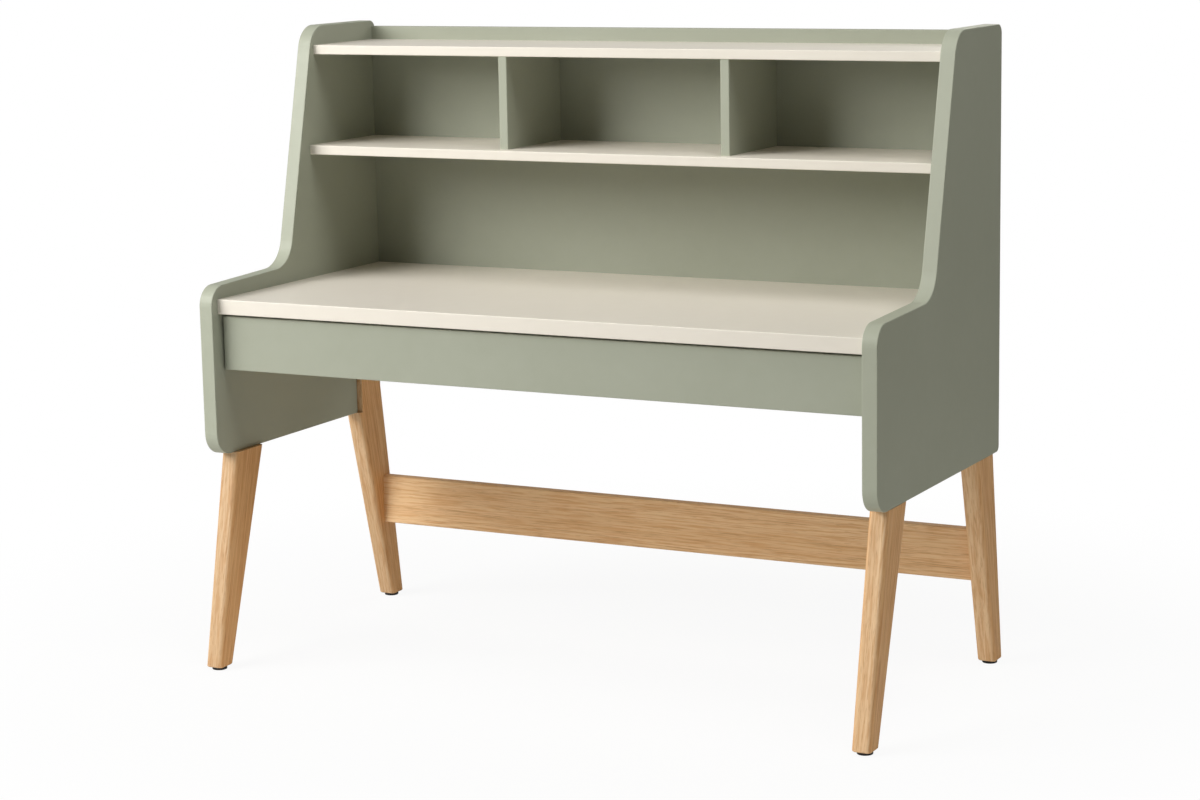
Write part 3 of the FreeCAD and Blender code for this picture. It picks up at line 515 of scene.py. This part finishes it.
# Runners: three rolled channels of zinc plated steel on each side, one screwed
# to the side panel, one to the drawer and one that travels between them.
zinc_plate, zinc_in, zinc_out = group_of(
    "zinc_plate", "ShaderNodeTree",
    {"Place": "Vector", "Drawn out": "Vector", "Dark": "Color", "Bright": "Color", "Smooth": "Float",
     "Rough": "Float"},
    {"Colour": "Color", "Gloss": "Float", "Lines": "Float"})
zinc_place = zinc_in.outputs["Place"]
rolled = put(zinc_plate, "ShaderNodeVectorMath", {0: zinc_place, 1: zinc_in.outputs["Drawn out"]},
             operation="MULTIPLY")
lines = mottle(zinc_plate, rolled.outputs[0], scale=1500.0, detail=2.0)
crystals = put(zinc_plate, "ShaderNodeTexVoronoi", {"Vector": zinc_place, "Scale": 160.0})
sparkle = put(zinc_plate, "ShaderNodeMix",
              {"Factor": 0.55, "A": crystals.outputs["Distance"], "B": lines}).outputs[0]
feed(zinc_plate, zinc_out, {
    "Colour": blended(zinc_plate, sparkle, zinc_in.outputs["Dark"], zinc_in.outputs["Bright"]),
    "Gloss": graded(zinc_plate, sparkle, low=0.0, high=1.0, to_low=zinc_in.outputs["Smooth"],
                    to_high=zinc_in.outputs["Rough"]),
    "Lines": lines,
})


def plated(name, zinc):
    """Zinc plated steel: cloudy crystals, with fine lines along the rolled strip."""
    material, tree, surface = finish_named(name)
    place = put(tree, "ShaderNodeTexCoord")
    plate = put(tree, "ShaderNodeGroup", {"Place": place.outputs["Object"], **zinc}, node_tree=zinc_plate)
    bump = put(tree, "ShaderNodeBump",
               {"Height": plate.outputs["Lines"], "Strength": 0.15, "Distance": 0.00005})
    feed(tree, surface, {"Base Color": plate.outputs["Colour"], "Roughness": plate.outputs["Gloss"],
                         "Normal": bump.outputs[0], "Metallic": 1.0})
    return material


ROLLED_ZINC = {"Dark": shade(178, 180, 184), "Bright": shade(222, 224, 228), "Drawn out": (1, 0.03, 1),
               "Smooth": 0.28, "Rough": 0.46}
dress(plated("runner_zinc", ROLLED_ZINC), "left_runner_rail", "right_runner_rail", "left_runner_middle",
      "right_runner_middle", "left_runner_slide", "right_runner_slide")

# Dowels: turned beech pins, which reach into both boards of a joint. They join the
# desktop, shelves, dividers, laps, stretcher and drawer corners.
BEECH = {"Pale": shade(218, 184, 145), "Mid": shade(208, 171, 131), "Spring": shade(194, 154, 113),
         "Pore": shade(160, 120, 84), "Ring share": 0.3, "Streak share": 0.57, "Pore share": 0.3,
         "Smooth": 0.55}
beech_dowel = timber("beech_dowel", BEECH, turn=GRAIN_ALONG_X, pith=(0.5, 0.4, 0.0))
dress(beech_dowel, "desktop_dowels", "shelf_dowels", "divider_dowels", "lap_dowels", "stretcher_dowels",
      "drawer_corner_dowels")

# Sleeves: short turned steel tubes, zinc plated, let into the legs' lower ends.
# The stems of the feet turn in them.
TURNED_ZINC = {"Dark": shade(182, 183, 186), "Bright": shade(226, 227, 230), "Drawn out": (1, 1, 1),
               "Smooth": 0.26, "Rough": 0.42}
screw_steel = plated("screw_steel", TURNED_ZINC)
dress(screw_steel, "leg_inserts")

# Screws: zinc plated steel with a cross recess, countersunk in the back panel,
# pan headed in the runners and behind the drawer front. A node tree turns the
# profile, cuts the cross and sets one screw at each place.
cross_screw, screw_in, screw_out = group_of(
    "cross_screw", "GeometryNodeTree",
    {"Places": "Geometry", "Head radius": "Float", "Head height": "Float", "Sunk depth": "Float",
     "Shank radius": "Float", "Length": "Float", "Finish": "Material"},
    {"Screws": "Geometry"})
head_radius = screw_in.outputs["Head radius"]
head_height = screw_in.outputs["Head height"]
lengthwise = put(cross_screw, "ShaderNodeCombineXYZ",
                 {"X": head_height, "Y": screw_in.outputs["Sunk depth"], "Z": screw_in.outputs["Length"]})
radii = put(cross_screw, "ShaderNodeCombineXYZ",
            {"X": head_radius, "Y": screw_in.outputs["Shank radius"], "Z": 1.0})
# Each ring of the profile: its place as shares of head height, sunk depth and
# length, then its radius as shares of head and shank radius.
screw_rings = (
    ((-1.0, 0.0, 0.0), (0.62, 0.0, 0.0)),
    ((-0.8, 0.03, 0.0), (0.88, 0.0, 0.0)),
    ((-0.45, 0.06, 0.0), (1.0, 0.0, 0.0)),
    ((-0.02, 0.12, 0.0), (0.98, 0.0, 0.0)),
    ((0.0, 1.0, 0.0), (0.0, 1.0, 0.0)),
    ((0.0, 0.0, 0.8), (0.0, 0.96, 0.0)),
    ((0.0, 0.0, 1.0), (0.0, 0.3, 0.0)),
)


def ring_values(source, shares):
    """One value for each ring of the profile, from its shares of three sizes."""
    ring_index = put(cross_screw, "GeometryNodeInputIndex")
    switch = put(cross_screw, "GeometryNodeIndexSwitch", {"Index": ring_index.outputs[0]},
                 data_type="FLOAT")
    while len(switch.index_switch_items) < len(shares):
        switch.index_switch_items.new()
    for count, share in enumerate(shares):
        part = put(cross_screw, "ShaderNodeVectorMath", {0: source.outputs[0], 1: share},
                   operation="DOT_PRODUCT")
        cross_screw.links.new(part.outputs["Value"], switch.inputs[count + 1])
    return switch.outputs[0]


ring_place = ring_values(lengthwise, [place_shares for place_shares, radius_shares in screw_rings])
ring_radius = ring_values(radii, [radius_shares for place_shares, radius_shares in screw_rings])
axis_line = put(cross_screw, "GeometryNodeMeshLine", {"Count": len(screw_rings), "Offset": (0, 0, 0.001)})
ring_point = put(cross_screw, "ShaderNodeCombineXYZ", {"Z": ring_place})
spaced = put(cross_screw, "GeometryNodeSetPosition",
             {"Geometry": axis_line.outputs[0], "Position": ring_point.outputs[0]})
screw_axis = put(cross_screw, "GeometryNodeMeshToCurve", {"Mesh": spaced.outputs[0]})
unit_ring = put(cross_screw, "GeometryNodeCurvePrimitiveCircle", {"Resolution": 28, "Radius": 1.0})
turned = put(cross_screw, "GeometryNodeCurveToMesh",
             {"Curve": screw_axis.outputs[0], "Profile Curve": unit_ring.outputs[0], "Scale": ring_radius,
              "Fill Caps": True})
cross = put(cross_screw, "GeometryNodeMeshBoolean", {"Mesh 1": turned.outputs[0]}, operation="DIFFERENCE",
            solver="EXACT")

# Each wing of the cross, as shares of the head's radius.
WING_LENGTH, WING_WIDTH, WING_DEPTH = 0.96, 0.22, 0.5
head_top = sum_of(cross_screw, "MULTIPLY", head_height, -1.0)
cross_place = put(cross_screw, "ShaderNodeCombineXYZ", {"Z": head_top})
for wing_shares in ((WING_LENGTH, WING_WIDTH, WING_DEPTH), (WING_WIDTH, WING_LENGTH, WING_DEPTH)):
    wing_size = put(cross_screw, "ShaderNodeVectorMath", {0: wing_shares, "Scale": head_radius},
                    operation="SCALE")
    wing = put(cross_screw, "GeometryNodeMeshCube", {"Size": wing_size.outputs[0]})
    wing_placed = put(cross_screw, "GeometryNodeTransform",
                      {"Geometry": wing.outputs[0], "Translation": cross_place.outputs[0]})
    cross_screw.links.new(wing_placed.outputs[0], cross.inputs["Mesh 2"])

# Each screw is driven along its own axis, and its cross has stopped anywhere in a
# quarter turn.
drive = put(cross_screw, "GeometryNodeInputNamedAttribute", {"Name": "drive"}, data_type="FLOAT_VECTOR")
aligned = put(cross_screw, "FunctionNodeAlignRotationToVector", {"Vector": drive.outputs[0]}, axis="Z")
LEAST, MOST = 2, 3  # sockets of the Random Value node
chance = put(cross_screw, "FunctionNodeRandomValue", {LEAST: 0.0, MOST: math.pi / 2, "Seed": 7},
             data_type="FLOAT")
stopped_at = put(cross_screw, "FunctionNodeAxisAngleToRotation",
                 {"Axis": (0, 0, 1), "Angle": chance.outputs[1]})
driven = put(cross_screw, "FunctionNodeRotateRotation",
             {"Rotation": aligned.outputs[0], "Rotate By": stopped_at.outputs[0]}, rotation_space="LOCAL")
feed(cross_screw, screw_out,
     {"Screws": set_at_places(cross_screw, screw_in, cross.outputs[0], driven.outputs[0])})


def islands_of(name):
    """The separate solids of a CAD node, each as a list of its points."""
    shape = bmesh.new()
    shape.from_mesh(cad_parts[name].data)
    bmesh.ops.remove_doubles(shape, verts=shape.verts, dist=0.000001)
    found = []
    for first in shape.verts:
        if first.tag:
            continue
        first.tag = True
        island = [first]
        for vert in island:
            for edge in vert.link_edges:
                other = edge.other_vert(vert)
                if not other.tag:
                    other.tag = True
                    island.append(other)
        found.append([vert.co.copy() for vert in island])
    shape.free()
    return found


def screw_place(points, head_rise):
    """Where a screw's head seats and which way it is driven: from its wide end to its thin end."""
    low = Vector([min(point[axis] for point in points) for axis in range(3)])
    high = Vector([max(point[axis] for point in points) for axis in range(3)])
    middle = (low + high) / 2
    along = max(range(3), key=lambda axis: high[axis] - low[axis])

    def reach(point):
        """How far a point stands off the screw's axis."""
        offset = point - middle
        offset[along] = 0
        return offset.length

    widest = max(points, key=reach)
    drive_way = Vector((0, 0, 0))
    drive_way[along] = 1 if widest[along] < middle[along] else -1
    seat = middle.copy()
    seat[along] = (low if drive_way[along] > 0 else high)[along]
    return seat + drive_way * head_rise, drive_way


def set_screws(name, body, sizes):
    """A plain mesh of screws in place of a CAD node of screws."""
    places = [screw_place(points, sizes["Head height"]) for points in islands_of(name)]
    dots = bpy.data.meshes.new(name + "_places")
    dots.from_pydata([seat for seat, way in places], [], [])
    ways = dots.attributes.new("drive", "FLOAT_VECTOR", "POINT")
    for count, (seat, way) in enumerate(places):
        ways.data[count].vector = way
    mesh = made_by(cross_screw, name, dots, {**sizes, "Finish": screw_steel})
    stand_for(name, "cross_" + name, mesh, body)


pan_head = {"Head radius": 0.0038, "Head height": 0.0012, "Sunk depth": 0.00002, "Shank radius": 0.002}
sunk_head = {"Head radius": 0.0038, "Head height": 0.0, "Sunk depth": 0.0024, "Shank radius": 0.002}
set_screws("rail_screws", "desk", {**pan_head, "Length": 0.014})
set_screws("slide_screws", "drawer", {**pan_head, "Length": 0.0108})
set_screws("drawer_front_screws", "drawer", {**pan_head, "Length": 0.026})
set_screws("back_panel_screws", "desk", {**sunk_head, "Length": 0.034})

# Stage: a wide pale floor that keeps the shadow and is clear from below, a soft key
# lamp from the front left, two overhead, weak ones low on the right and behind, and
# a pale room around.
floor_mesh = bpy.data.meshes.new("floor")
floor_shape = bmesh.new()
bmesh.ops.create_grid(floor_shape, x_segments=1, y_segments=1, size=30.0)
floor_shape.to_mesh(floor_mesh)
floor_shape.free()
floor = bpy.data.objects.new("floor", floor_mesh)
bpy.context.scene.collection.objects.link(floor)

FLOOR_PAINT = (0.82, 0.82, 0.81, 1)
WHITE = (1, 1, 1, 1)
floor_white = bpy.data.materials.new("floor_white")
floor_white.use_nodes = True
floor_tree = floor_white.node_tree
floor_tree.nodes.clear()
floor_coat = put(floor_tree, "ShaderNodeBsdfDiffuse", {"Color": FLOOR_PAINT})
floor_glow = put(floor_tree, "ShaderNodeEmission", {"Color": WHITE, "Strength": 1.0})
floor_path = put(floor_tree, "ShaderNodeLightPath")
floor_place = put(floor_tree, "ShaderNodeTexCoord")
floor_far = put(floor_tree, "ShaderNodeVectorMath", {0: floor_place.outputs["Object"]}, operation="LENGTH")
floor_fade = graded(floor_tree, floor_far.outputs["Value"], low=0.5, high=1.6, to_low=0.92, to_high=1.0,
                    easing="SMOOTHSTEP")
floor_seen = sum_of(floor_tree, "MULTIPLY", floor_path.outputs["Is Camera Ray"], floor_fade)
floor_mix = put(floor_tree, "ShaderNodeMixShader",
                {0: floor_seen, 1: floor_coat.outputs[0], 2: floor_glow.outputs[0]})
floor_side = put(floor_tree, "ShaderNodeNewGeometry")
from_below = sum_of(floor_tree, "MULTIPLY", floor_path.outputs["Is Camera Ray"],
                    floor_side.outputs["Backfacing"])
floor_clear = put(floor_tree, "ShaderNodeBsdfTransparent")
floor_both = put(floor_tree, "ShaderNodeMixShader",
                 {0: from_below, 1: floor_mix.outputs[0], 2: floor_clear.outputs[0]})
put(floor_tree, "ShaderNodeOutputMaterial", {"Surface": floor_both.outputs[0]})
floor_mesh.materials.append(floor_white)


def soft_lamp(name, place, aim, width, height, power, tint):
    """A soft box with a rectangular face, aimed at a point."""
    data = bpy.data.lights.new(name, "AREA")
    data.shape = "RECTANGLE"
    data.size = width
    data.size_y = height
    data.energy = power
    data.color = tint
    lamp = bpy.data.objects.new(name, data)
    lamp.location = place
    lamp.rotation_mode = "QUATERNION"
    lamp.rotation_quaternion = (Vector(aim) - Vector(place)).to_track_quat("-Z", "Y")
    bpy.context.scene.collection.objects.link(lamp)


soft_lamp("key_lamp", place=(-2.5, -2.6, 2.25), aim=(0.0, 0.0, 0.6), width=2.8, height=1.6, power=134.0,
          tint=(1.0, 0.99, 0.97))
soft_lamp("top_lamp", place=(-1.6, -2.4, 3.4), aim=(0.0, 0.0, 0.6), width=1.6, height=1.6, power=27.0,
          tint=(1.0, 0.99, 0.97))
soft_lamp("right_lamp", place=(1.2, -0.6, 3.2), aim=(0.2, -0.3, 0.6), width=1.4, height=1.0, power=31.0,
          tint=(1.0, 0.99, 0.96))
soft_lamp("side_lamp", place=(3.0, 0.3, 0.4), aim=(0.6, 0.0, 0.3), width=1.2, height=0.6, power=5.5,
          tint=(1.0, 0.96, 0.84))
soft_lamp("rear_lamp", place=(0.6, 2.7, 2.15), aim=(0.0, 0.25, 0.6), width=2.0, height=0.8, power=22.0,
          tint=(1.0, 0.97, 0.9))

room = bpy.data.worlds.new("room")
room.use_nodes = True
room_tree = room.node_tree
room_tree.nodes.clear()
room_path = put(room_tree, "ShaderNodeLightPath")
room_shown = sum_of(room_tree, "MAXIMUM", room_path.outputs["Is Camera Ray"],
                    room_path.outputs["Is Transmission Ray"])
room_fill = put(room_tree, "ShaderNodeBackground", {"Color": (1.0, 0.97, 0.87, 1), "Strength": 0.04})
room_sheen = put(room_tree, "ShaderNodeBackground", {"Color": WHITE, "Strength": 0.35})
room_white = put(room_tree, "ShaderNodeBackground", {"Color": WHITE, "Strength": 1.0})
room_light = put(room_tree, "ShaderNodeMixShader",
                 {0: room_path.outputs["Is Glossy Ray"], 1: room_fill.outputs[0], 2: room_sheen.outputs[0]})
room_mix = put(room_tree, "ShaderNodeMixShader",
               {0: room_shown, 1: room_light.outputs[0], 2: room_white.outputs[0]})
put(room_tree, "ShaderNodeOutputWorld", {"Surface": room_mix.outputs[0]})
bpy.context.scene.world = room

# Camera: in front and to the right, a little above the desktop, with a long lens
# and a slight roll. Its place was fitted to the straight edges of the desk.
camera_data = bpy.data.cameras.new("camera")
camera_data.lens = 84.4
camera_data.sensor_width = 36.0
camera_data.clip_end = 60.0
camera = bpy.data.objects.new("camera", camera_data)
camera.location = (2.1058, -4.0488, 1.2783)
camera_aim = Vector((0.0035, 0.0, 0.4523))
camera_roll = math.radians(-1.04)
camera.rotation_mode = "QUATERNION"
level_view = (camera_aim - camera.location).to_track_quat("-Z", "Y")
camera.rotation_quaternion = level_view @ Quaternion((0, 0, 1), camera_roll)
bpy.context.scene.collection.objects.link(camera)
bpy.context.scene.camera = camera
bpy.context.scene.view_settings.view_transform = "Standard"
